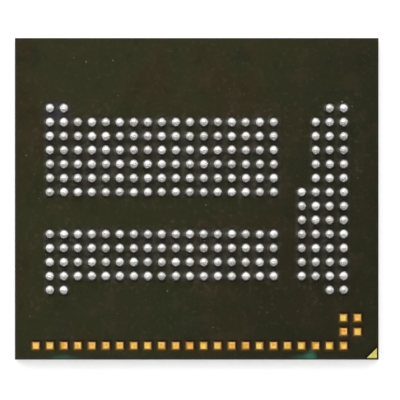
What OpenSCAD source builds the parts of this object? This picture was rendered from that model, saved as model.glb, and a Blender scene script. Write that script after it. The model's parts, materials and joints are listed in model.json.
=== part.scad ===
// Ball grid array memory package: a stack of bonded dies, moulded in epoxy on a thin laminate,
// with solder balls and gold test pads on the laminate's outer side.
// It lies on its marking face, ball side up. The origin is the centre of the marking face,
// X runs along the long side and Z points out of the balls. Lengths are in millimetres.

/* [Body] */
// Length of the package along X
body_x = 13; // [12.6:0.1:16]
// Width of the package along Y
body_y = 11.5; // [11.2:0.1:14]
// Thickness of mould compound over the highest wire loop
mould_cover = 0.05; // [0.04:0.01:0.3]
// Diameter of the laser-cut index dot in the marking face
dot_d = 0.6; // [0.3:0.05:1]
// Depth of the index dot
dot_depth = 0.02; // [0.01:0.005:0.03]
// Distance from the dot's centre to the two edges at its corner
dot_inset = 0.8; // [0.7:0.05:1.5]

/* [Laminate] */
// Thickness of the glass and resin core
core_t = 0.1; // [0.08:0.01:0.3]
// Thickness of the solder mask on the die side
die_mask_t = 0.02; // [0.018:0.001:0.03]
// Thickness of the copper layers
copper_t = 0.012; // [0.008:0.001:0.016]
// Thickness of the ball-side solder mask where it covers copper
mask_cover = 0.018; // [0.012:0.001:0.025]
// Diameter of the drilled and filled vias through the core
via_d = 0.1; // [0.06:0.01:0.12]
// Diameter of the copper pad on each end of a via
via_pad_d = 0.2; // [0.16:0.01:0.22]
// Width of the copper neck from a land to its via
neck_w = 0.07; // [0.05:0.01:0.1]

/* [Ball grid] */
// Distance between neighbouring grid points
pitch = 0.5; // [0.48:0.005:0.52]
// Diameter of a solder ball
ball_d = 0.35; // [0.335:0.005:0.36]
// Diameter of a ball's foot, which fills the opening in the mask over its land
ball_foot_d = 0.32; // [0.29:0.005:0.33]
// Width of the land's rim that the mask covers
land_rim = 0.025; // [0.015:0.005:0.03]

/* [Test pads] */
// Side of the square opening in the mask over a gold test pad
pad_side = 0.26; // [0.2:0.01:0.3]
// Width of the pad's rim that the mask covers
pad_rim = 0.04; // [0.02:0.005:0.05]
// Thickness of the gold plating on a pad
gold_t = 0.004; // [0.002:0.001:0.006]
// Leg of the triangular corner mark
mark_leg = 0.36; // [0.3:0.02:0.5]
// Distance from the corner mark to the sawn edges
mark_inset = 0.06; // [0.02:0.01:0.1]

/* [Dies] */
// Thickness of a thinned die
die_t = 0.07; // [0.04:0.005:0.09]
// Thickness of the film that glues a die down
film_t = 0.01; // [0.005:0.005:0.02]
// Length of a flash memory die along X
flash_x = 11; // [10:0.1:12]
// Width of a flash memory die along Y
flash_y = 8; // [7.8:0.1:8.2]
// Distance from the package's centre to the bonded edge of the lowest flash die
flash_edge = 4.4; // [4.3:0.05:4.5]
// Length of a working memory die along X
ram_x = 9.6; // [8:0.1:10]
// Width of a working memory die along Y
ram_y = 5.2; // [4.8:0.1:5.4]
// Distance from the top flash die's edge to the working memory's bonded edge
ram_setback = 0.2; // [0.1:0.05:0.3]
// Ledge of a die that the next one leaves bare for its bonds
ledge = 0.25; // [0.22:0.01:0.28]
// Length of the controller die along X
controller_x = 4.8; // [3:0.1:6]
// Width of the controller die along Y
controller_y = 1.6; // [1.2:0.1:1.8]
// Gap between the working memory and the controller die
controller_gap = 0.3; // [0.2:0.05:0.4]

/* [Bond wires] */
// Diameter of the gold wire
wire_d = 0.02; // [0.016:0.001:0.024]
// Height of a loop over the die that it rises from
loop_h = 0.06; // [0.05:0.005:0.07]
// Diameter of the squashed bond at each end of a wire
bond_d = 0.056; // [0.05:0.002:0.06]
// Height of the squashed bond
bond_h = 0.014; // [0.013:0.001:0.018]
// Distance from a die's edge to its bonds
bond_inset = 0.07; // [0.06:0.005:0.08]
// Gap between the two bonds that share a ledge
bond_gap = 0.03; // [0.02:0.005:0.04]
// Distance between neighbouring wires of the flash memory
flash_wire_pitch = 0.6; // [0.4:0.05:0.8]
// Distance between neighbouring wires of the working memory
ram_wire_pitch = 0.45; // [0.3:0.05:0.6]
// Distance between neighbouring wires of the controller
controller_wire_pitch = 0.3; // [0.2:0.05:0.4]
// Length of a bond finger on the laminate
finger_l = 0.3; // [0.2:0.01:0.35]
// Width of a bond finger
finger_w = 0.09; // [0.07:0.01:0.1]
// Gap between the dies' outermost edge and the nearest fingers
finger_gap = 0.3; // [0.25:0.01:0.35]
// Gap between the two finger rows at one edge
finger_row_gap = 0.1; // [0.06:0.01:0.15]
// Room that the mould compound leaves around a wire
wire_room = 0.003; // [0.002:0.001:0.006]

/* [Hidden] */
flash_count = 4;
ram_count = 2;
$fn = 32;

// How far a cutting shape runs past the face that it opens
cut = 0.05;

// The ball grid: columns count along X and rows down from the upper edge. Each field is a list of
// blocks, given as first column, last column, first row and last row.
columns = 22;
rows = 14;
last_col = columns - 1;
last_row = rows - 1;
upper_field = [[0, 1, 0, 0], [0, 16, 1, 6]];
lower_field = [[0, 16, 9, 12], [0, 1, last_row, last_row]];
side_field = [
    [last_col - 1, last_col, 0, 0],
    [last_col - 2, last_col, 1, 5],
    [last_col - 3, last_col, 6, 12],
    [last_col - 1, last_col, last_row, last_row]
];
all_fields = concat(upper_field, lower_field, side_field);
edge_pad_row = last_row + 4;
edge_pads = [[-1, last_col, edge_pad_row, edge_pad_row]];
corner_pads = [[last_col, last_col + 1, edge_pad_row - 2, edge_pad_row - 1]];

// Solder ball: the height of its centre over the flat face that it bulges from
ball_lift = sqrt(pow(ball_d / 2, 2) - pow(ball_foot_d / 2, 2));
land_d = ball_foot_d + 2 * land_rim;
via_step = pitch / 2;

// Die stack, measured from the laminate into the mould compound
level = film_t + die_t;
stack_h = (flash_count + ram_count) * level;
kink_r = wire_d / 2 * 1.05;
cap_t = stack_h + loop_h + kink_r + mould_cover;

// Heights of the layers, from the marking face up
core_z = cap_t + die_mask_t;
copper_z = core_z + core_t;
mask_top_z = copper_z + copper_t + mask_cover;

// Places of the die edges and the finger rows along Y
stitch_inset = bond_inset + bond_d + bond_gap;
flash_far_edge = flash_bond_edge(flash_count) - flash_y;
ram_edge = flash_far_edge + ram_setback;
ram_far_edge = ram_bond_edge(ram_count) + ram_y;
controller_near_edge = ram_far_edge + controller_gap;
controller_bond_edge = controller_near_edge + controller_y;
flash_finger_y = flash_edge + finger_gap + finger_l / 2;
controller_finger_y = flash_finger_y + finger_l + finger_row_gap;
ram_finger_y = flash_far_edge - finger_gap - finger_l / 2;

function grid_x(col) = (col - last_col / 2) * pitch;
function grid_y(row) = (last_row / 2 - row) * pitch;
function flash_bond_edge(i) = flash_edge - (i - 1) * ledge;
function ram_bond_edge(i) = ram_edge + (i - 1) * ledge;
function stack_top(levels) = levels * level;

// A wire's route in the YZ plane: up from its bond, level for a stretch, then down to its stitch
function wire_route(from, to) =
    let (top = from[1] + loop_h, level_stretch = 0.4)
    [from, [from[0], top], [from[0] + level_stretch * (to[0] - from[0]), top], to + [0, bond_h]];

flash_routes = [
    for (i = [1:flash_count])
        let (
            from = [flash_bond_edge(i) - bond_inset, stack_top(i)],
            ledge_below = [flash_bond_edge(i - 1) - stitch_inset, stack_top(i - 1)]
        )
        wire_route(from, i == 1 ? [flash_finger_y, 0] : ledge_below)
];
ram_routes = [
    for (i = [1:ram_count])
        let (
            from = [ram_bond_edge(i) + bond_inset, stack_top(flash_count + i)],
            ledge_below = [ram_bond_edge(i - 1) + stitch_inset, stack_top(flash_count + i - 1)]
        )
        wire_route(from, i == 1 ? [ram_finger_y, 0] : ledge_below)
];
controller_routes = [
    wire_route(
        [controller_bond_edge - bond_inset, stack_top(flash_count + 1)],
        [controller_finger_y, 0]
    )
];

// Places of a row of wires along X, centred on the die
function row_places(die_x, wire_pitch) =
    let (gaps = floor((die_x - 4 * bond_inset) / wire_pitch))
    [for (i = [0:gaps]) (i - gaps / 2) * wire_pitch];

flash_places = row_places(flash_x, flash_wire_pitch);
ram_places = row_places(ram_x, ram_wire_pitch);
controller_places = row_places(controller_x, controller_wire_pitch);

// The outline of a band of a given half width along a route, with mitred corners
function unit(v) = v / norm(v);
function left_of(v) = [-v[1], v[0]];
function heading(route, i) = unit(route[min(i + 1, len(route) - 1)] - route[min(i, len(route) - 2)]);
function mitre(route, i) =
    let (before = left_of(heading(route, max(i - 1, 0))), after = left_of(heading(route, i)))
    (before + after) / (1 + before * after);
function band(route, half) = concat(
    [for (i = [0:len(route) - 1]) route[i] + half * mitre(route, i)],
    [for (i = [len(route) - 1:-1:0]) route[i] - half * mitre(route, i)]
);

// Shared building modules

module at_grid(blocks) {
    for (b = blocks, col = [b[0]:b[1]], row = [b[2]:b[3]]) {
        translate([grid_x(col), grid_y(row), 0]) children();
    }
}

module sheet(z, thickness) {
    translate([-body_x / 2, -body_y / 2, z]) cube([body_x, body_y, thickness]);
}

// Puts what is drawn from the laminate upwards into the mould, which hangs below the laminate here
module on_laminate() {
    translate([0, 0, cap_t]) mirror([0, 0, 1]) children();
}

module die_box(x, y_from, y_to, z, thickness) {
    translate([-x / 2, y_from, z]) cube([x, y_to - y_from, thickness]);
}

module flash_box(i, z, thickness) {
    edge = flash_bond_edge(i);
    die_box(flash_x, edge - flash_y, edge, stack_top(i - 1) + z, thickness);
}

module ram_box(i, z, thickness) {
    edge = ram_bond_edge(i);
    die_box(ram_x, edge, edge + ram_y, stack_top(flash_count + i - 1) + z, thickness);
}

module controller_box(z, thickness) {
    z_under = stack_top(flash_count) + z;
    die_box(controller_x, controller_near_edge, controller_bond_edge, z_under, thickness);
}

// Copper of one ball: its land, its via's pad and the neck that joins them
module land_outline() {
    circle(d = land_d);
    rotate(45) translate([0, -neck_w / 2]) square([norm([via_step, via_step]), neck_w]);
    translate([via_step, via_step]) circle(d = via_pad_d);
}

module pad_square(side) {
    square(side, center = true);
}

module corner_triangle() {
    translate([body_x / 2 - mark_inset, mark_inset - body_y / 2]) {
        polygon([[0, 0], [0, mark_leg], [-mark_leg, 0]]);
    }
}

// A solder ball after reflow: a foot in the mask's opening and a cut sphere that bulges over it
module solder_ball() {
    foot_h = mask_cover;
    rotate_extrude() {
        square([ball_foot_d / 2, foot_h]);
        translate([0, foot_h]) intersection() {
            translate([0, ball_lift]) circle(d = ball_d);
            square([ball_d, ball_d]);
        }
    }
}

module ball_field(blocks) {
    translate([0, 0, copper_z + copper_t]) at_grid(blocks) solder_ball();
}

// A gold test pad: copper that the mask covers at its rim, and the plating that stands in the opening
module test_pad() {
    linear_extrude(copper_t) pad_square(pad_side + 2 * pad_rim);
    translate([0, 0, copper_t]) linear_extrude(gold_t) pad_square(pad_side);
}

module wire_run(from, to) {
    step = to - from;
    translate([0, from[0], from[1]]) rotate([-atan2(step[0], step[1]), 0, 0]) {
        cylinder(d = wire_d, h = norm(step));
    }
}

module bond(place, room = 0) {
    translate([0, place[0], place[1]]) cylinder(d = bond_d + 2 * room, h = bond_h + room);
}

module wire(route) {
    last = len(route) - 1;
    bond(route[0]);
    bond(route[last] - [0, bond_h]);
    for (i = [1:last]) wire_run(route[i - 1], route[i]);
    for (i = [1:last]) translate([0, route[i][0], route[i][1]]) sphere(r = kink_r);
}

// The room that one wire takes in the mould compound
module wire_channel(route) {
    last = len(route) - 1;
    half = kink_r + wire_room;
    to_end = route[last] + half * heading(route, last);
    run = [route[0] - [0, half], route[1], route[2], to_end];
    rotate([90, 0, 90]) translate([0, 0, -half]) linear_extrude(2 * half) polygon(band(run, half));
    bond(route[0], wire_room);
    bond(route[last] - [0, bond_h], wire_room);
}

module along_row(places) {
    for (x = places) translate([x, 0, 0]) children();
}

module wires(routes, places) {
    for (route = routes) along_row(places) wire(route);
}

module wire_channels(routes, places) {
    for (route = routes) along_row(places) wire_channel(route);
}

module finger_row(y, places, depth) {
    along_row(places) translate([-finger_w / 2, y - finger_l / 2, -depth]) {
        cube([finger_w, finger_l, depth]);
    }
}

// Sub-parts of the body

module mould_cap() color("#1c1c1f") difference() {
    sheet(0, cap_t);
    on_laminate() {
        for (i = [1:flash_count]) flash_box(i, 0, level);
        for (i = [1:ram_count]) ram_box(i, 0, level);
        controller_box(0, level);
    }
    on_laminate() wire_channels(flash_routes, flash_places);
    on_laminate() wire_channels(ram_routes, ram_places);
    on_laminate() wire_channels(controller_routes, controller_places);
    translate([body_x / 2 - dot_inset, dot_inset - body_y / 2, -cut]) {
        cylinder(d = dot_d, h = dot_depth + cut);
    }
}

// Sub-parts of the laminate

module die_side_mask() color("#2b3a24") difference() {
    sheet(cap_t, die_mask_t);
    translate([via_step, via_step, core_z - copper_t]) at_grid(all_fields) {
        cylinder(d = via_pad_d, h = copper_t + cut);
    }
    on_laminate() {
        finger_row(flash_finger_y, flash_places, die_mask_t);
        finger_row(ram_finger_y, ram_places, die_mask_t);
        finger_row(controller_finger_y, controller_places, die_mask_t);
    }
}

module laminate_core() color("#8f8a5a") difference() {
    sheet(core_z, core_t);
    translate([via_step, via_step, core_z - cut]) at_grid(all_fields) {
        cylinder(d = via_d, h = core_t + 2 * cut);
    }
}

module vias() color("#b87333") translate([via_step, via_step, core_z]) at_grid(all_fields) {
    cylinder(d = via_d, h = core_t);
    translate([0, 0, -copper_t]) cylinder(d = via_pad_d, h = copper_t);
}

module ball_lands() color("#b87333") translate([0, 0, copper_z]) at_grid(all_fields) {
    linear_extrude(copper_t) land_outline();
}

module ball_side_mask() color("#343224") difference() {
    sheet(copper_z, copper_t + mask_cover);
    translate([0, 0, copper_z - cut]) {
        at_grid(all_fields) linear_extrude(copper_t + cut) land_outline();
        at_grid(edge_pads) linear_extrude(copper_t + cut) pad_square(pad_side + 2 * pad_rim);
        at_grid(corner_pads) linear_extrude(copper_t + cut) pad_square(pad_side + 2 * pad_rim);
    }
    translate([0, 0, copper_z]) {
        at_grid(all_fields) cylinder(d = ball_foot_d, h = copper_t + mask_cover + cut);
        at_grid(edge_pads) linear_extrude(copper_t + mask_cover + cut) pad_square(pad_side);
        at_grid(corner_pads) linear_extrude(copper_t + mask_cover + cut) pad_square(pad_side);
    }
    translate([0, 0, copper_z - cut]) {
        linear_extrude(copper_t + mask_cover + 2 * cut) corner_triangle();
    }
}

module edge_test_pads() color("#c9973f") translate([0, 0, copper_z]) at_grid(edge_pads) test_pad();

module corner_test_pads() color("#c9973f") translate([0, 0, copper_z]) at_grid(corner_pads) test_pad();

module corner_mark() color("#cbb76a") translate([0, 0, copper_z]) {
    linear_extrude(copper_t + gold_t) corner_triangle();
}

// Solder balls

module upper_field_balls() color("#c4c4c4") ball_field(upper_field);

module lower_field_balls() color("#c4c4c4") ball_field(lower_field);

module side_field_balls() color("#c4c4c4") ball_field(side_field);

// Dies and their films

module flash_die(i) color("#5a5f6b") on_laminate() flash_box(i, film_t, die_t);

module flash_film(i) color("#b9a76a") on_laminate() flash_box(i, 0, film_t);

module ram_die(i) color("#67606e") on_laminate() ram_box(i, film_t, die_t);

module ram_film(i) color("#b9a76a") on_laminate() ram_box(i, 0, film_t);

module controller_die() color("#55695f") on_laminate() controller_box(film_t, die_t);

module controller_film() color("#b9a76a") on_laminate() controller_box(0, film_t);

// Bond fingers and wires

module flash_fingers() color("#d9ab45") on_laminate() {
    finger_row(flash_finger_y, flash_places, die_mask_t);
}

module ram_fingers() color("#d9ab45") on_laminate() {
    finger_row(ram_finger_y, ram_places, die_mask_t);
}

module controller_fingers() color("#d9ab45") on_laminate() {
    finger_row(controller_finger_y, controller_places, die_mask_t);
}

module flash_wires() color("#e2b648") on_laminate() wires(flash_routes, flash_places);

module ram_wires() color("#e2b648") on_laminate() wires(ram_routes, ram_places);

module controller_wires() color("#e2b648") on_laminate() wires(controller_routes, controller_places);

mould_cap();
die_side_mask();
laminate_core();
vias();
ball_lands();
ball_side_mask();
edge_test_pads();
corner_test_pads();
corner_mark();
upper_field_balls();
lower_field_balls();
side_field_balls();
for (i = [1:flash_count]) flash_die(i);
for (i = [1:flash_count]) flash_film(i);
for (i = [1:ram_count]) ram_die(i);
for (i = [1:ram_count]) ram_film(i);
controller_die();
controller_film();
flash_fingers();
ram_fingers();
controller_fingers();
flash_wires();
ram_wires();
controller_wires();
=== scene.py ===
"""Looks of the ball grid array package: solder balls, gold pads, solder mask, laminate and mould cap."""

import json
import math
import random

import bmesh
import bpy
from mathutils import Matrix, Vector, noise


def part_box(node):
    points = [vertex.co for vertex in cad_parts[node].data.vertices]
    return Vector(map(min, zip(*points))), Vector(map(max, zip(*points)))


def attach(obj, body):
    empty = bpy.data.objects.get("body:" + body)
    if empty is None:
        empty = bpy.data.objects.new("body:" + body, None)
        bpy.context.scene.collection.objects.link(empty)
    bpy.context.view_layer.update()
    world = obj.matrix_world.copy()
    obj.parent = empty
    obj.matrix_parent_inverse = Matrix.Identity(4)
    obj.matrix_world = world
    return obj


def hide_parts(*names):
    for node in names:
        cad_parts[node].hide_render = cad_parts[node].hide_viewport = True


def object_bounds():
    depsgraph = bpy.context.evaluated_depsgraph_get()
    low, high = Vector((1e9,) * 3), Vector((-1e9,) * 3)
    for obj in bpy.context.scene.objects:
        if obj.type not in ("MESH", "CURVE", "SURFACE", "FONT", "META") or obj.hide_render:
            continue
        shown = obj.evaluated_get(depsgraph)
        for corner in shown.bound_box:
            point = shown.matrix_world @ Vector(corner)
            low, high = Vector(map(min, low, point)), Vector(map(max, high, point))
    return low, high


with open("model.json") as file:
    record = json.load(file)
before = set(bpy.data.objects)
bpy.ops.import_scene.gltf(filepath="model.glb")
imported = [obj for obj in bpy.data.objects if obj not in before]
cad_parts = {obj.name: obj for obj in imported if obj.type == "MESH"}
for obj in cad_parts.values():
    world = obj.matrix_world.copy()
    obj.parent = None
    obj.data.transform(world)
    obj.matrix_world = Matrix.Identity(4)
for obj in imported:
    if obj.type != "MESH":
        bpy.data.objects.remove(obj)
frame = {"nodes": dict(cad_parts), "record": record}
cad_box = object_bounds()

MM = 0.001

# The ball grid, as the CAD source lays it out. A block is its first and last column and row.
PITCH = 0.5 * MM
LAST_COL = 21
LAST_ROW = 13
BALL_FIELDS = {
    "upper_field_balls": [(0, 1, 0, 0), (0, 16, 1, 6)],
    "lower_field_balls": [(0, 16, 9, 12), (0, 1, 13, 13)],
    "side_field_balls": [(20, 21, 0, 0), (19, 21, 1, 5), (18, 21, 6, 12), (20, 21, 13, 13)],
}
PAD_GROUPS = {
    "edge_test_pads": [(-1, 21, 17, 17)],
    "corner_test_pads": [(21, 22, 15, 16)],
}
FOOT_HEIGHT = 0.018 * MM
FOOT_RADIUS = 0.16 * MM
PAD_SIDE = 0.26 * MM
PAD_RIM = 0.04 * MM
GOLD_THICKNESS = 0.004 * MM


def grid_points(blocks):
    """Centres of the grid places in a list of blocks."""
    points = []
    for first_col, last_col, first_row, last_row in blocks:
        for row in range(first_row, last_row + 1):
            for col in range(first_col, last_col + 1):
                points.append(((col - LAST_COL / 2) * PITCH, (LAST_ROW / 2 - row) * PITCH))
    return points


# ---------------------------------------------------------------- materials


class Shader:
    """A node material with a Principled shader and texture coordinates in millimetres."""

    def __init__(self, name, **inputs):
        self.material = bpy.data.materials.new(name)
        self.material.use_nodes = True
        self.nodes = self.material.node_tree.nodes
        self.links = self.material.node_tree.links
        self.bsdf = self.nodes["Principled BSDF"]
        for socket, value in inputs.items():
            self.bsdf.inputs[socket.replace("_", " ")].default_value = value
        place = self.nodes.new("ShaderNodeTexCoord").outputs["Object"]
        self.mm = self.math_vector("SCALE", place, scale=1 / MM)

    def node(self, kind, **settings):
        made = self.nodes.new(kind)
        for key, value in settings.items():
            setattr(made, key, value)
        return made

    def feed(self, socket, source):
        if isinstance(source, bpy.types.NodeSocket):
            self.links.new(source, socket)
        else:
            socket.default_value = source

    def set(self, name, source):
        self.feed(self.bsdf.inputs[name], source)

    def math_vector(self, operation, a, b=None, scale=None):
        made = self.node("ShaderNodeVectorMath", operation=operation)
        self.feed(made.inputs[0], a)
        if b is not None:
            self.feed(made.inputs[1], b)
        if scale is not None:
            made.inputs["Scale"].default_value = scale
        return made.outputs[0]

    def math(self, operation, a, b=0.0, clamp=False):
        made = self.node("ShaderNodeMath", operation=operation, use_clamp=clamp)
        self.feed(made.inputs[0], a)
        self.feed(made.inputs[1], b)
        return made.outputs[0]

    def noise(self, per_mm, detail=3.0, roughness=0.5, stretch=None):
        made = self.node("ShaderNodeTexNoise")
        place = self.math_vector("MULTIPLY", self.mm, stretch) if stretch else self.mm
        self.feed(made.inputs["Vector"], place)
        made.inputs["Scale"].default_value = per_mm
        made.inputs["Detail"].default_value = detail
        made.inputs["Roughness"].default_value = roughness
        return made.outputs["Fac"]

    def per_cell(self):
        """One random value for each cell of the ball grid, so that each ball or pad has its own tone."""
        pitch = PITCH / MM
        all_positive = self.math_vector("ADD", self.mm, (80 * pitch, 80 * pitch, 0.0))
        snapped = self.math_vector("SNAP", all_positive, (pitch, pitch, 10.0))
        made = self.node("ShaderNodeTexWhiteNoise", noise_dimensions="2D")
        self.feed(made.inputs["Vector"], snapped)
        return made.outputs["Value"]

    def axis(self, name):
        made = self.node("ShaderNodeSeparateXYZ")
        self.feed(made.inputs[0], self.mm)
        return made.outputs[name]

    def spread(self, value, low, high, to_low=0.0, to_high=1.0):
        """Maps the range from low to high onto another one, with smooth ends. Low may be over high."""
        made = self.node("ShaderNodeMapRange", interpolation_type="SMOOTHSTEP")
        self.feed(made.inputs["Value"], value)
        made.inputs["From Min"].default_value = low
        made.inputs["From Max"].default_value = high
        made.inputs["To Min"].default_value = to_low
        made.inputs["To Max"].default_value = to_high
        return made.outputs["Result"]

    def mix(self, factor, a, b, blend="MIX"):
        made = self.node("ShaderNodeMix", data_type="RGBA", blend_type=blend)
        self.feed(made.inputs["Factor"], factor)
        self.feed(made.inputs["A"], a)
        self.feed(made.inputs["B"], b)
        return made.outputs["Result"]

    def across(self, name, last):
        """Distance in millimetres along one axis from the nearest line of the ball grid."""
        pitch = PITCH / MM
        steps = self.math("ADD", self.math("DIVIDE", self.axis(name), pitch), last / 2 % 1 + 0.5)
        share = self.math("SUBTRACT", self.math("FRACT", steps), 0.5)
        return self.math("MULTIPLY", share, pitch)

    def length(self, u, v):
        """Distance of the point (u, v) from the origin."""
        return self.math("SQRT", self.math("ADD", self.math("POWER", u, 2.0), self.math("POWER", v, 2.0)))

    def square_length(self, u, v):
        """Half the side of the square round the origin that the point (u, v) lies on."""
        return self.math("MAXIMUM", self.math("ABSOLUTE", u), self.math("ABSOLUTE", v))

    def inside(self, blocks, start=0.04, full=-0.12):
        """One on the blocks' cells and zero away from them, rising from start to full past their edge."""
        total = 0.0
        for first_col, last_col, first_row, last_row in blocks:
            middle = {
                "X": (first_col + last_col - LAST_COL) / 2,
                "Y": (LAST_ROW - first_row - last_row) / 2,
            }
            count = {"X": last_col - first_col + 1, "Y": last_row - first_row + 1}
            found = 1.0
            for name in ("X", "Y"):
                offset = self.math("SUBTRACT", self.axis(name), middle[name] * PITCH / MM)
                half = count[name] * PITCH / MM / 2
                near = self.spread(self.math("ABSOLUTE", offset), half + start, half + full)
                found = self.math("MULTIPLY", near, found)
            total = self.math("MAXIMUM", found, total)
        return total

    def bump(self, height, depth_mm, strength=1.0, under=None):
        """Bump on the whole shader, over another bump if one is given."""
        made = self.node("ShaderNodeBump")
        made.inputs["Strength"].default_value = strength
        made.inputs["Distance"].default_value = depth_mm * MM
        self.feed(made.inputs["Height"], height)
        if under is not None:
            self.feed(made.inputs["Normal"], under)
        self.set("Normal", made.outputs["Normal"])
        return made.outputs["Normal"]


def srgb(red, green, blue):
    """A colour given as it looks, from 0 to 255, as the shader wants it."""
    def linear(level):
        share = level / 255
        return share / 12.92 if share <= 0.04045 else ((share + 0.055) / 1.055) ** 2.4

    return (linear(red), linear(green), linear(blue), 1.0)


def all_blocks(groups):
    """The blocks of all the groups in one list."""
    return [block for blocks in groups.values() for block in blocks]


# Tinted patches on the mask, in millimetres: place along X, distance from the front edge, half width and
# half height, then strength and colour
TEAL = (54, 116, 94)
BLUE_GREY = (58, 57, 72)
TINTED_PATCHES = [
    (-4.75, 0.0, 0.65, 0.16, 0.5, TEAL),
    (3.75, 0.0, 0.42, 0.2, 0.45, TEAL),
    (4.08, 0.0, 0.24, 0.34, 0.85, TEAL),
    (-4.95, 8.8, 0.6, 0.5, 0.6, BLUE_GREY),
]


def solder_material():
    """Reflowed solder: bright, a little uneven in sheen, with a fine crystal grain."""
    shader = Shader("reflowed_solder", Metallic=1.0)
    tone = shader.per_cell()
    clouds = shader.noise(9.0, 3.0)
    base = shader.mix(tone, srgb(206, 205, 200), srgb(244, 244, 242))
    base = shader.mix(shader.spread(clouds, 0.5, 0.75, 0.0, 0.35), base, srgb(196, 193, 184))
    shader.set("Base Color", base)
    shader.set("Roughness", shader.spread(clouds, 0.3, 0.7, 0.26, 0.38))
    shader.bump(shader.noise(60.0, 4.0, 0.6), 0.0025)
    return shader.material


def mask_mottle(shader, x, y, clouds, fine):
    """Olive mask with brown blotches, most of them on the left, and green ones."""
    broad = shader.noise(0.3, 3.0, 0.55)
    # Painted shade: the base is darker towards the front right.
    to_back_left = shader.spread(shader.math("SUBTRACT", y, x), -9.0, 9.0)
    base = shader.mix(to_back_left, srgb(40, 42, 21), srgb(50, 50, 27))
    to_left = shader.spread(x, 6.0, 0.0, 0.4, 1.0)
    brown = shader.math("MULTIPLY", shader.spread(broad, 0.48, 0.62, 0.0, 0.75), to_left)
    base = shader.mix(brown, base, srgb(51, 42, 22))
    base = shader.mix(shader.spread(broad, 0.46, 0.32, 0.0, 0.6), base, srgb(41, 46, 21))
    base = shader.mix(shader.spread(clouds, 0.5, 0.66, 0.0, 0.6), base, srgb(57, 51, 32))
    base = shader.mix(shader.spread(clouds, 0.46, 0.32, 0.0, 0.6), base, srgb(36, 39, 20))
    return shader.mix(shader.spread(fine, 0.52, 0.72, 0.0, 0.6), base, srgb(66, 62, 46))


def mask_ball_tone_and_painted_light(shader, base, u, v, clouds, fine):
    """Grey tone between the balls, partly the copper under the mask and partly painted light; painted
    light on either side of each ball, most on its left, and painted shade in front of and behind it.
    """
    balls = shader.inside(all_blocks(BALL_FIELDS))
    # Paler grey patches round the ball fields.
    round_about = shader.inside(all_blocks(BALL_FIELDS), 0.6, 0.1)
    round_about = shader.math("MULTIPLY", round_about, shader.spread(clouds, 0.45, 0.6))
    pale_fringe = shader.math("MULTIPLY", round_about, shader.spread(fine, 0.5, 0.7, 0.0, 0.5))
    base = shader.mix(pale_fringe, base, srgb(74, 74, 60))
    tint = shader.noise(2.4, 2.0)
    # Grey tone between the balls: partly the copper under the mask, partly painted light scattered from
    # the balls.
    film = shader.mix(shader.spread(fine, 0.38, 0.64), srgb(37, 36, 29), srgb(74, 73, 63))
    film = shader.mix(shader.spread(tint, 0.5, 0.64, 0.0, 0.6), film, srgb(62, 49, 41))
    film = shader.mix(shader.spread(tint, 0.46, 0.32, 0.0, 0.6), film, srgb(46, 53, 37))
    # Painted light: paler on either side of each ball.
    painted_light_sides = shader.spread(shader.math("ABSOLUTE", v), 0.14, 0.03, 0.0, 0.85)
    film = shader.mix(painted_light_sides, film, srgb(76, 75, 66))
    # Painted glow: a pale patch on the left of each ball.
    painted_glow_left = shader.length(shader.math("ADD", u, 0.03), shader.math("MULTIPLY", v, 1.5))
    film = shader.mix(shader.spread(painted_glow_left, 0.235, 0.15, 0.0, 0.9), film, srgb(116, 114, 104))
    # Painted shadow: darker in front of and behind each ball, a little to its right.
    across = shader.spread(shader.math("ABSOLUTE", shader.math("SUBTRACT", u, 0.06)), 0.2, 0.05)
    painted_shadow_fore_aft = shader.spread(shader.math("ABSOLUTE", v), 0.14, 0.21)
    film = shader.mix(shader.math("MULTIPLY", across, painted_shadow_fore_aft), film, srgb(39, 38, 31))
    share = shader.math("MULTIPLY", balls, shader.spread(clouds, 0.36, 0.58, 0.4, 1.0))
    base = shader.mix(share, base, film)
    # Painted contact shade: a dark band round each ball, in front and behind.
    close = shader.math("MULTIPLY", shader.spread(shader.length(u, v), 0.25, 0.19, 0.0, 0.6), painted_shadow_fore_aft)
    return shader.mix(shader.math("MULTIPLY", balls, close), base, srgb(24, 23, 17))


def mask_pad_rims(shader, base, u, v):
    """Mask over the copper rim of each pad: red brown from the copper, darkened as painted shade and
    darkest at the back right, and a painted amber glow next to the gold.
    """
    pads = shader.inside(all_blocks(PAD_GROUPS), 0.02, 0.0)
    side = shader.square_length(u, v)
    shade_to_back_right = shader.spread(shader.math("ADD", u, v), -0.16, 0.16)
    # Painted shade: the copper's red brown made darker, most at the back right.
    copper = shader.mix(shade_to_back_right, srgb(62, 44, 16), srgb(34, 12, 1))
    base = shader.mix(shader.math("MULTIPLY", pads, shader.spread(side, 0.235, 0.185)), base, copper)
    # Painted glow of the gold on the mask next to it, dimmer at the back right.
    glow = shader.mix(shade_to_back_right, srgb(138, 104, 44), srgb(100, 64, 20))
    return shader.mix(shader.math("MULTIPLY", pads, shader.spread(side, 0.166, 0.136)), base, glow)


def mask_mark_rim(shader, base, x, y):
    """Dark line on the mask along the slanted side of the corner mark."""
    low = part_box("corner_mark")[0]
    beyond = shader.math("SUBTRACT", shader.math("SUBTRACT", y, x), (low.y - low.x) / MM)
    near_mark = shader.math("LESS_THAN", shader.math("ABSOLUTE", beyond), 0.5)
    over_mark = shader.math("MULTIPLY", shader.spread(beyond, 0.13, 0.08), near_mark)
    return shader.mix(over_mark, base, srgb(16, 10, 1))


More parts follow.
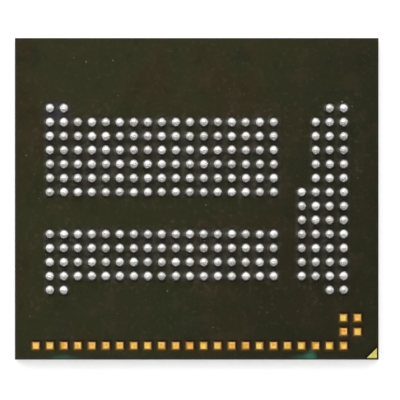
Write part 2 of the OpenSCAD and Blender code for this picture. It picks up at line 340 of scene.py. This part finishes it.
def mask_edges(shader, base, x, y, clouds):
    """The tinted patches, and the paler line that the saw left on the left and front edges."""
    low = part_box("ball_side_mask")[0]
    from_left = shader.math("SUBTRACT", x, low.x / MM)
    from_front = shader.math("SUBTRACT", y, low.y / MM)
    ragged = shader.math("MULTIPLY", shader.math("SUBTRACT", clouds, 0.5), 1.6)
    for place, distance, half_width, half_height, strength, colour in TINTED_PATCHES:
        along = shader.math("DIVIDE", shader.math("SUBTRACT", x, place), half_width)
        up = shader.math("DIVIDE", shader.math("SUBTRACT", from_front, distance), half_height)
        away = shader.math("ADD", shader.length(along, up), ragged)
        base = shader.mix(shader.spread(away, 1.3, 0.0, 0.0, strength), base, srgb(*colour))
    left_edge = shader.spread(from_left, 0.09, 0.05)
    front_edge = shader.spread(from_front, 0.09, 0.05)
    sawn = shader.math("MAXIMUM", left_edge, front_edge)
    return shader.mix(shader.math("MULTIPLY", sawn, 0.6), base, srgb(46, 47, 50))


def mask_material():
    """Ball-side solder mask: dark olive and satin, mottled, with painted light and shade round the balls.
    """
    shader = Shader("olive_solder_mask", Specular_IOR_Level=0.075)
    x, y = shader.axis("X"), shader.axis("Y")
    u, v = shader.across("X", LAST_COL), shader.across("Y", LAST_ROW)
    clouds = shader.noise(1.1, 5.0, 0.65)
    fine = shader.noise(5.5, 4.0, 0.7)
    base = mask_mottle(shader, x, y, clouds, fine)
    base = mask_ball_tone_and_painted_light(shader, base, u, v, clouds, fine)
    # Painted shade: the whole mask darker towards the front right.
    lit_to_back_left = shader.math("SUBTRACT", shader.math("MULTIPLY", y, 0.3), x)
    base = shader.mix(1.0, base, shader.spread(lit_to_back_left, -6.0, 0.0, 0.77, 0.94), "MULTIPLY")
    base = mask_pad_rims(shader, base, u, v)
    base = mask_mark_rim(shader, base, x, y)
    base = mask_edges(shader, base, x, y, clouds)
    shader.set("Base Color", base)
    shader.set("Roughness", shader.spread(fine, 0.3, 0.7, 0.36, 0.5))
    shader.bump(shader.noise(7.0, 3.0, 0.5), 0.004, 0.5)
    return shader.material


def gold_material(name, yellow, orange, pale, most_pale=0.35):
    """Soft gold plating whose tone wanders from place to place."""
    shader = Shader(name, Metallic=1.0)
    tone = shader.per_cell()
    clouds = shader.noise(7.0, 3.0, 0.6)
    base = shader.mix(tone, yellow, orange)
    base = shader.mix(shader.spread(clouds, 0.45, 0.75, 0.0, most_pale), base, pale)
    shader.set("Base Color", base)
    shader.set("Roughness", shader.spread(clouds, 0.3, 0.7, 0.3, 0.45))
    shader.bump(shader.noise(40.0, 3.0, 0.6), 0.002)
    return shader.material


def pad_material():
    """Test pad gold: each pad has its own tone, a deeper spot where it was probed and amber borders;
    painted light makes its front left side yellower and painted shade darkens it towards its edges.
    """
    shader = Shader("pad_gold", Metallic=1.0)
    u, v = shader.across("X", LAST_COL), shader.across("Y", LAST_ROW)
    side = shader.square_length(u, v)
    tone = shader.per_cell()
    other_tone = shader.math("FRACT", shader.math("MULTIPLY", tone, 7.3))
    clouds = shader.noise(6.0, 3.0, 0.6)
    base = shader.mix(tone, srgb(238, 210, 100), srgb(236, 166, 78))
    base = shader.mix(shader.math("MULTIPLY", other_tone, 0.35), base, srgb(206, 152, 90))
    base = shader.mix(shader.spread(clouds, 0.42, 0.66, 0.0, 0.7), base, srgb(250, 218, 146))
    patchy = shader.spread(clouds, 0.3, 0.6, 0.1, 0.6)
    border = shader.math("MULTIPLY", shader.spread(side, 0.04, 0.08), patchy)
    base = shader.mix(border, base, srgb(248, 208, 122))
    probed_x = shader.math("MULTIPLY", shader.math("SUBTRACT", tone, 0.5), 0.08)
    probed_y = shader.math("MULTIPLY", shader.math("SUBTRACT", other_tone, 0.5), 0.06)
    off_x = shader.math("SUBTRACT", u, probed_x)
    off_y = shader.math("SUBTRACT", v, probed_y)
    spot = shader.spread(shader.length(off_x, off_y), 0.075, 0.015, 0.0, 0.8)
    base = shader.mix(shader.math("MULTIPLY", spot, other_tone), base, srgb(226, 146, 56))
    # Painted light: the front left side of each pad yellower.
    painted_lit_side = shader.math("SUBTRACT", shader.math("MULTIPLY", v, -1.0), u)
    base = shader.mix(shader.spread(painted_lit_side, 0.08, 0.22, 0.0, 0.45), base, srgb(206, 196, 96))
    # Painted shade: the gold darker towards its edges, round the probed spot; the narrow band at the very
    # edge is the amber of the copper rim, darkened as painted shade.
    painted_shade_reach = shader.square_length(off_x, off_y)
    base = shader.mix(shader.spread(painted_shade_reach, 0.06, 0.135, 0.0, 0.8), base, srgb(172, 130, 58))
    base = shader.mix(shader.spread(side, 0.118, 0.132), base, srgb(112, 66, 20))
    shader.set("Base Color", base)
    shader.set("Roughness", shader.spread(clouds, 0.3, 0.7, 0.3, 0.45))
    shader.bump(shader.noise(40.0, 3.0, 0.6), 0.002)
    return shader.material


def copper_material():
    """Etched copper foil, a little oxidised."""
    shader = Shader("copper_foil", Metallic=1.0)
    clouds = shader.noise(5.0, 4.0, 0.6)
    shader.set("Base Color", shader.mix(clouds, srgb(196, 128, 92), srgb(142, 82, 56)))
    shader.set("Roughness", shader.spread(clouds, 0.3, 0.7, 0.3, 0.5))
    shader.bump(shader.noise(45.0, 3.0), 0.002)
    return shader.material


def mould_material():
    """Moulded epoxy: near black and matte, with filler grains, and saw lines along its sides."""
    shader = Shader("mould_compound", Specular_IOR_Level=0.4)
    clouds = shader.noise(1.3, 4.0, 0.6)
    grain = shader.noise(26.0, 4.0, 0.7)
    base = shader.mix(clouds, srgb(30, 30, 32), srgb(38, 38, 39))
    base = shader.mix(shader.spread(grain, 0.6, 0.75, 0.0, 0.6), base, srgb(66, 66, 66))
    shader.set("Base Color", base)
    shader.set("Roughness", shader.spread(grain, 0.3, 0.7, 0.5, 0.68))
    pits = shader.bump(grain, 0.006)
    saw = shader.noise(3.0, 4.0, 0.7, stretch=(0.4, 0.4, 30.0))
    shader.bump(saw, 0.004, 1.0, under=pits)
    return shader.material


def laminate_material():
    """Sawn edge of the core: resin with the cut ends of glass bundles."""
    shader = Shader("glass_laminate")
    bundles = shader.noise(3.2, 2.0, stretch=(1.0, 1.0, 5.0))
    fibres = shader.noise(38.0, 3.0, 0.6)
    base = shader.mix(shader.spread(bundles, 0.42, 0.58), srgb(104, 98, 62), srgb(158, 152, 112))
    base = shader.mix(shader.spread(fibres, 0.5, 0.8, 0.0, 0.5), base, srgb(192, 188, 156))
    shader.set("Base Color", base)
    shader.set("Roughness", shader.spread(fibres, 0.3, 0.7, 0.45, 0.7))
    shader.bump(fibres, 0.005)
    return shader.material


def die_mask_material():
    """Die-side solder mask, seen only as a thin dark green line at the sawn edge."""
    shader = Shader("green_solder_mask", Specular_IOR_Level=0.4)
    clouds = shader.noise(2.0, 3.0)
    shader.set("Base Color", shader.mix(clouds, srgb(38, 52, 30), srgb(52, 62, 38)))
    shader.set("Roughness", shader.spread(clouds, 0.3, 0.7, 0.35, 0.5))
    shader.bump(shader.noise(20.0, 3.0), 0.002)
    return shader.material


def silicon_material():
    """Thinned silicon with a faint iridescent cell pattern and a ground back."""
    shader = Shader("thinned_silicon", Specular_IOR_Level=0.6)
    banks = shader.noise(1.2, 2.0, stretch=(1.0, 4.0, 1.0))
    base = shader.mix(shader.spread(banks, 0.4, 0.6), srgb(92, 96, 112), srgb(112, 100, 118))
    shader.set("Base Color", base)
    shader.set("Roughness", shader.spread(banks, 0.3, 0.7, 0.18, 0.3))
    shader.bump(shader.noise(30.0, 2.0, stretch=(1.0, 8.0, 1.0)), 0.001)
    return shader.material


def film_material():
    """Cured die attach film: pale amber adhesive."""
    shader = Shader("attach_film")
    clouds = shader.noise(3.0, 3.0)
    shader.set("Base Color", shader.mix(clouds, srgb(190, 168, 108), srgb(214, 198, 146)))
    shader.set("Roughness", shader.spread(clouds, 0.3, 0.7, 0.4, 0.6))
    shader.bump(shader.noise(25.0, 2.0), 0.001)
    return shader.material


def floor_material():
    """White paper floor. What the camera and reflections see is lifted to white, and shadows stay."""
    shader = Shader("white_floor", Roughness=0.9, Specular_IOR_Level=0.1)
    paper = shader.noise(0.05, 2.0)
    shader.set("Base Color", shader.mix(paper, srgb(247, 247, 247), srgb(250, 250, 250)))
    path = shader.node("ShaderNodeLightPath").outputs
    seen = shader.math("ADD", path["Is Camera Ray"], path["Is Glossy Ray"], clamp=True)
    seen = shader.math("ADD", seen, path["Is Transmission Ray"], clamp=True)
    shader.bsdf.inputs["Emission Color"].default_value = (1.0, 1.0, 1.0, 1.0)
    shader.set("Emission Strength", shader.math("MULTIPLY", seen, FLOOR_LIFT))
    return shader.material


def dress(node, material):
    """Gives a carried-over CAD node its finish."""
    slots = frame["nodes"][node].data.materials
    slots.clear()
    slots.append(material)


# ---------------------------------------------------------------- pieces


def piece_from(bm, name, material, node=None):
    """Turns a bmesh into a smooth piece that rides on the package and may stand for a CAD node."""
    bmesh.ops.recalc_face_normals(bm, faces=bm.faces)
    mesh = bpy.data.meshes.new(name)
    bm.to_mesh(mesh)
    bm.free()
    mesh.materials.append(material)
    for face in mesh.polygons:
        face.use_smooth = True
    piece = bpy.data.objects.new(name, mesh)
    bpy.context.scene.collection.objects.link(piece)
    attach(piece, "root")
    if node:
        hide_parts(node)


def join_rings(bm, rings, crown):
    """Joins rings of equal count by a wall, and the last one to a crown point."""
    count = len(rings[0])
    for lower, upper in zip(rings, rings[1:]):
        for i in range(count):
            j = (i + 1) % count
            bm.faces.new((lower[i], lower[j], upper[j], upper[i]))
    for i in range(count):
        bm.faces.new((rings[-1][i], rings[-1][(i + 1) % count], crown))


BALL_SIDES = 32
BALL_RINGS = 17
LUMP_SHARE = 0.035
LUMPS_PER_RADIUS = 1.1
LEAN = 0.006 * MM
LEAST_HEIGHT_SHARE = 0.985
LUMPS_GROW_BY = 0.25
MARKS_START_AT = 0.5
SEED_RANGE = 50

# The marks of a test socket on a crown: how often, and in millimetres the mean and spread of the
# centre along X and Y, and the ranges of length, width and depth
SCRATCH = {
    "chance": 0.6,
    "x": (0.004, 0.014),
    "y": (-0.03, 0.016),
    "length": (0.06, 0.15),
    "depth": (0.005, 0.011),
}
PIT = {
    "chance": 0.55,
    "x": (0.01, 0.026),
    "y": (-0.045, 0.024),
    "width": (0.03, 0.05),
    "depth": (0.005, 0.012),
}
FLAT = {
    "chance": 0.25,
    "x": (0.0, 0.05),
    "y": (-0.02, 0.04),
    "width": (0.08, 0.12),
    "depth": (0.006, 0.012),
}
SCRATCH_WIDTH = 0.022 * MM
SCRATCH_TURN = 0.3
NO_TURN = Vector((1.0, 0.0))


def sphere_through_foot(low, high):
    """The ball's radius and centre height, from its foot's rim and its crown."""
    rise = high - low - FOOT_HEIGHT
    radius = (rise * rise + FOOT_RADIUS * FOOT_RADIUS) / (2 * rise)
    return radius, high - radius


def ball_profile(low, high):
    """Radius and height of each ring, from the foot's edge up to just under the crown."""
    radius, centre = sphere_through_foot(low, high)
    profile = [(FOOT_RADIUS, low), (FOOT_RADIUS, low + FOOT_HEIGHT)]
    start = math.asin((low + FOOT_HEIGHT - centre) / radius)
    for ring in range(1, BALL_RINGS):
        angle = start + (math.pi / 2 - start) * ring / BALL_RINGS
        profile.append((radius * math.cos(angle), centre + radius * math.sin(angle)))
    return profile


def dent_depth(offset, marks):
    """How far the socket's contact marks press a point of the crown down."""
    depth = 0.0
    for centre, along, length, width, deepest in marks:
        reach = offset - centre
        run = max(abs(reach.dot(along)) - length / 2, 0.0)
        side = abs(reach.x * along.y - reach.y * along.x)
        distance = math.hypot(run, side) / width
        if distance < 1:
            depth += deepest * (1 - distance * distance) ** 2
    return depth


def mark_centre(dice, kind):
    """A random place on the crown for a mark of one kind."""
    return Vector((dice.gauss(*kind["x"]), dice.gauss(*kind["y"]))) * MM


def contact_marks(dice):
    """The socket's marks on one ball, each a centre, direction, length, width and depth."""
    marks = []
    if dice.random() < SCRATCH["chance"]:
        centre = mark_centre(dice, SCRATCH)
        turn = dice.gauss(0, SCRATCH_TURN)
        along = Vector((math.cos(turn), math.sin(turn)))
        length = dice.uniform(*SCRATCH["length"]) * MM
        depth = dice.uniform(*SCRATCH["depth"]) * MM
        marks.append((centre, along, length, SCRATCH_WIDTH, depth))
    for kind in (PIT, FLAT):
        if dice.random() < kind["chance"]:
            centre = mark_centre(dice, kind)
            width = dice.uniform(*kind["width"]) * MM
            depth = dice.uniform(*kind["depth"]) * MM
            marks.append((centre, NO_TURN, 0.0, width, depth))
    return marks


def add_ball(bm, x, y, low, high, dice):
    """One solder ball: a lathed form, a little out of round, marked by the test socket."""
    seed = Vector([dice.uniform(0, SEED_RANGE) for _ in range(3)])
    squash = dice.uniform(LEAST_HEIGHT_SHARE, 1.0)
    lean = Vector((dice.gauss(0, LEAN), dice.gauss(0, LEAN)))
    marks = contact_marks(dice)
    foot_top = low + FOOT_HEIGHT
    rings = []
    for radius, z in ball_profile(low, high):
        up = max(z - foot_top, 0.0) / (high - foot_top)
        ring = []
        for side in range(BALL_SIDES):
            angle = 2 * math.pi * side / BALL_SIDES
            way = Vector((math.cos(angle), math.sin(angle)))
            lump = noise.noise(seed + Vector((way.x, way.y, up * 2)) * LUMPS_PER_RADIUS)
            reach = radius * (1 + LUMP_SHARE * lump * min(up / LUMPS_GROW_BY, 1.0))
            flat = way * reach + lean * up
            height = foot_top + (z - foot_top) * squash if up > 0 else z
            if up > MARKS_START_AT:
                height -= dent_depth(flat, marks)
            ring.append(bm.verts.new((x + flat.x, y + flat.y, height)))
        rings.append(ring)
    crown_z = foot_top + (high - foot_top) * squash - dent_depth(lean, marks)
    crown = bm.verts.new((x + lean.x, y + lean.y, crown_z))
    foot = bm.verts.new((x, y, low))
    join_rings(bm, rings, crown)
    for i in range(BALL_SIDES):
        bm.faces.new((rings[0][(i + 1) % BALL_SIDES], rings[0][i], foot))


def make_ball_fields(material):
    """One piece for the balls of each field."""
    for field, (node, blocks) in enumerate(BALL_FIELDS.items()):
        dice = random.Random(221 + field)
        low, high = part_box(node)
        bm = bmesh.new()
        for x, y in grid_points(blocks):
            add_ball(bm, x, y, low.z, high.z, dice)
        piece_from(bm, node.replace("_balls", "_solder_balls"), material, node)


PLATE_SHY = 0.008 * MM
RIM_CORNER = 0.01 * MM
PLATE_CORNER = 0.045 * MM
LIP = 0.006 * MM
LIP_DROP = 0.001 * MM
SHOULDER = 0.02 * MM
DISH_DEPTH = 0.0015 * MM
PROBE_DEPTH = 0.006 * MM
CORNER_STEPS = 5


def rounded_square(side, corner):
    """Points round a square with round corners, centred on the origin."""
    points = []
    for quarter in range(4):
        turn = math.pi / 2 * quarter
        centre = Vector((side / 2 - corner, side / 2 - corner))
        for step in range(CORNER_STEPS + 1):
            angle = math.pi / 2 * step / CORNER_STEPS
            point = centre + corner * Vector((math.cos(angle), math.sin(angle)))
            spin = (
                point.x * math.cos(turn) - point.y * math.sin(turn),
                point.x * math.sin(turn) + point.y * math.cos(turn),
            )
            points.append(Vector(spin))
    return points


def stack_rings(bm, layers, x, y, centre_z):
    """Joins rings of equal count into a closed form, with a flat floor and a crown point."""
    rings = [[bm.verts.new((x + p.x, y + p.y, z)) for p in points] for points, z in layers]
    crown = bm.verts.new((x, y, centre_z))
    join_rings(bm, rings, crown)
    bm.faces.new(list(reversed(rings[0])))


def add_pad(bm, x, y, low, high, dice):
    """One gold pad: its foil rim, the soft shoulder of the plating and a probe mark in the middle."""
    top = high - GOLD_THICKNESS
    wide = PAD_SIDE + 2 * PAD_RIM
    plate = PAD_SIDE - 2 * PLATE_SHY
    pit = dice.uniform(0.3, 1.0) * PROBE_DEPTH
    layers = [
        (rounded_square(wide, RIM_CORNER), low),
        (rounded_square(wide, RIM_CORNER), top),
        (rounded_square(plate, PLATE_CORNER), top),
        (rounded_square(plate - LIP, PLATE_CORNER), high - LIP_DROP),
        (rounded_square(plate - SHOULDER, PLATE_CORNER), high),
        (rounded_square(plate * 0.5, plate * 0.16), high - DISH_DEPTH),
        (rounded_square(plate * 0.25, plate * 0.11), high - pit * 0.8),
    ]
    stack_rings(bm, layers, x, y, high - pit)


def make_test_pads(material):
    """One piece for the pads of each group."""
    for group, (node, blocks) in enumerate(PAD_GROUPS.items()):
        dice = random.Random(27 + group)
        low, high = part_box(node)
        bm = bmesh.new()
        for x, y in grid_points(blocks):
            add_pad(bm, x, y, low.z, high.z, dice)
        piece_from(bm, node.replace("test_pads", "gold_pads"), material, node)


# The larger flecks of dust on the mask: place from the package's centre and size, in millimetres
DUST = [
    (-3.95, 4.9, 0.09),
    (-3.0, 4.95, 0.07),
    (5.2, 3.47, 0.09),
    (5.55, 3.3, 0.06),
    (0.32, -0.22, 0.07),
    (-1.05, -3.3, 0.08),
    (-6.1, 1.55, 0.07),
    (0.5, 1.25, 0.09),
    (-0.5, -1.8, 0.08),
]
SPECKS = 70
SPECK_SIZES = (0.02, 0.045)
FLECK_SIDES = 12
FLECK_HEIGHT = 0.01 * MM
CLEAR_OF_METAL = 0.22 * MM


def dust_material():
    """Grey dust in uneven tones."""
    shader = Shader("pale_dust", Roughness=0.9)
    tone = shader.noise(20.0, 2.0)
    shader.set("Base Color", shader.mix(tone, srgb(64, 66, 54), srgb(112, 112, 94)))
    shader.bump(tone, 0.004)
    return shader.material


def make_dust(material, mask_node):
    """Flat flecks of dust that lie on the mask: a few larger ones and many fine specks."""
    dice = random.Random(5)
    low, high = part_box(mask_node)
    flecks = [(x * MM, y * MM, size * MM) for x, y, size in DUST]
    for _ in range(SPECKS):
        x = dice.uniform(0.97, 0.03) * (high.x - low.x) + low.x
        y = dice.uniform(0.97, 0.1) * (high.y - low.y) + low.y
        flecks.append((x, y, dice.uniform(*SPECK_SIZES) * MM))
    bm = bmesh.new()
    for x, y, size in flecks:
        if lies_on_metal(x, y):
            continue
        rim = []
        for side in range(FLECK_SIDES):
            angle = 2 * math.pi * side / FLECK_SIDES
            reach = size / 2 * dice.uniform(0.7, 1.1)
            rim.append(Vector((reach * math.cos(angle), reach * math.sin(angle))))
        layers = [
            (rim, high.z),
            ([p * 0.8 for p in rim], high.z + FLECK_HEIGHT * 0.6),
            ([p * 0.4 for p in rim], high.z + FLECK_HEIGHT * 0.9),
        ]
        stack_rings(bm, layers, x, y, high.z + FLECK_HEIGHT)
    piece_from(bm, "dust_flecks", material)


def lies_on_metal(x, y):
    """Whether a place is on or close to a ball or a pad."""
    places = grid_points(all_blocks(BALL_FIELDS)) + grid_points(all_blocks(PAD_GROUPS))
    return any(math.hypot(x - px, y - py) < CLEAR_OF_METAL for px, py in places)


# ---------------------------------------------------------------- stage

# Sizes and places of the stage are in metres
FLOOR_LIFT = 0.42
FLOOR_SIZE = 6.0
FLOOR_GAP = 0.002 * MM
WORLD_LEVEL = 1.0
CARD_HEIGHT = 0.42
CARD_WIDTH = 5.0
CARD_DEPTH = 2.6
CARD_EDGE_DEGREES = 12
LAMP_PLACE = Vector((-0.1, 0.3, 0.5))
LAMP_WIDTH = 0.7
LAMP_DEPTH = 0.42
LAMP_WATTS = 1.0
CAMERA_HEIGHT = 0.25
CAMERA_CLIP = (0.01, 20.0)
FRAME_WIDTH = 14.286 * MM
SENSOR_MM = 36.0
CAMERA_OFFSET = Vector((0.116, -0.041)) * MM


def add_plane(name, size_x, size_y, centre, material):
    """A level sheet of the stage, not part of the object."""
    mesh = bpy.data.meshes.new(name)
    x, y = size_x / 2, size_y / 2
    mesh.from_pydata([(-x, -y, 0), (x, -y, 0), (x, y, 0), (-x, y, 0)], [], [(0, 1, 2, 3)])
    mesh.materials.append(material)
    plane = bpy.data.objects.new(name, mesh)
    plane.location = centre
    bpy.context.scene.collection.objects.link(plane)


def card_material():
    """Pale grey card, quite matte."""
    shader = Shader("grey_card", Roughness=0.95, Specular_IOR_Level=0.0)
    tone = shader.noise(0.02, 1.0)
    shader.set("Base Color", shader.mix(tone, srgb(230, 230, 229), srgb(235, 235, 234)))
    return shader.material


def make_stage():
    """White floor, and a grey card overhead that the front half of the balls reflects."""
    add_plane("floor", FLOOR_SIZE, FLOOR_SIZE, (0, 0, cad_box[0].z - FLOOR_GAP), floor_material())
    near_edge = -CARD_HEIGHT * math.tan(math.radians(CARD_EDGE_DEGREES))
    centre = (0, near_edge - CARD_DEPTH / 2, CARD_HEIGHT)
    add_plane("grey_card", CARD_WIDTH, CARD_DEPTH, centre, card_material())


def make_lights():
    """White surroundings and one soft lamp behind and left of the package."""
    world = bpy.data.worlds.new("studio")
    world.use_nodes = True
    background = world.node_tree.nodes["Background"]
    background.inputs["Color"].default_value = (1.0, 1.0, 1.0, 1.0)
    background.inputs["Strength"].default_value = WORLD_LEVEL
    bpy.context.scene.world = world
    light = bpy.data.lights.new("soft_box", "AREA")
    light.shape = "RECTANGLE"
    light.size = LAMP_WIDTH
    light.size_y = LAMP_DEPTH
    light.energy = LAMP_WATTS
    lamp = bpy.data.objects.new("soft_box", light)
    lamp.location = LAMP_PLACE
    lamp.rotation_euler = (-lamp.location).to_track_quat("-Z", "Y").to_euler()
    bpy.context.scene.collection.objects.link(lamp)


def make_camera():
    """Looks straight down on the ball side, from far enough for a flat perspective."""
    data = bpy.data.cameras.new("camera")
    data.sensor_width = SENSOR_MM
    data.lens = SENSOR_MM * CAMERA_HEIGHT / FRAME_WIDTH
    data.clip_start, data.clip_end = CAMERA_CLIP
    camera = bpy.data.objects.new("camera", data)
    camera.location = (CAMERA_OFFSET.x, CAMERA_OFFSET.y, cad_box[1].z + CAMERA_HEIGHT)
    bpy.context.scene.collection.objects.link(camera)
    bpy.context.scene.camera = camera


def dress_cad_nodes():
    """Gives each CAD node the finish of its material slot."""
    gold = gold_material("finger_gold", srgb(226, 178, 84), srgb(214, 158, 74), srgb(240, 206, 130))
    copper, silicon, film = copper_material(), silicon_material(), film_material()
    finishes = {
        "mould_compound": mould_material(),
        "ball_side_mask": mask_material(),
        "die_side_mask": die_mask_material(),
        "laminate": laminate_material(),
        "copper": copper,
        "silicon": silicon,
        "attach_film": film,
        "gold_plate": gold,
        "gold_wire": gold,
        "solder": copper,
    }
    for part in frame["record"]["subparts"]:
        dress(part["node"], finishes[part["material_slot"]])


bpy.context.scene.view_settings.view_transform = "Standard"
make_camera()
make_stage()
make_lights()
dress_cad_nodes()
make_ball_fields(solder_material())
make_test_pads(pad_material())
# Near white patches on the corner mark: its paler gold, partly painted glints.
mark_gold = gold_material("mark_gold", srgb(218, 204, 108), srgb(210, 198, 102), srgb(252, 246, 212), 0.9)
dress("corner_mark", mark_gold)
make_dust(dust_material(), "ball_side_mask")
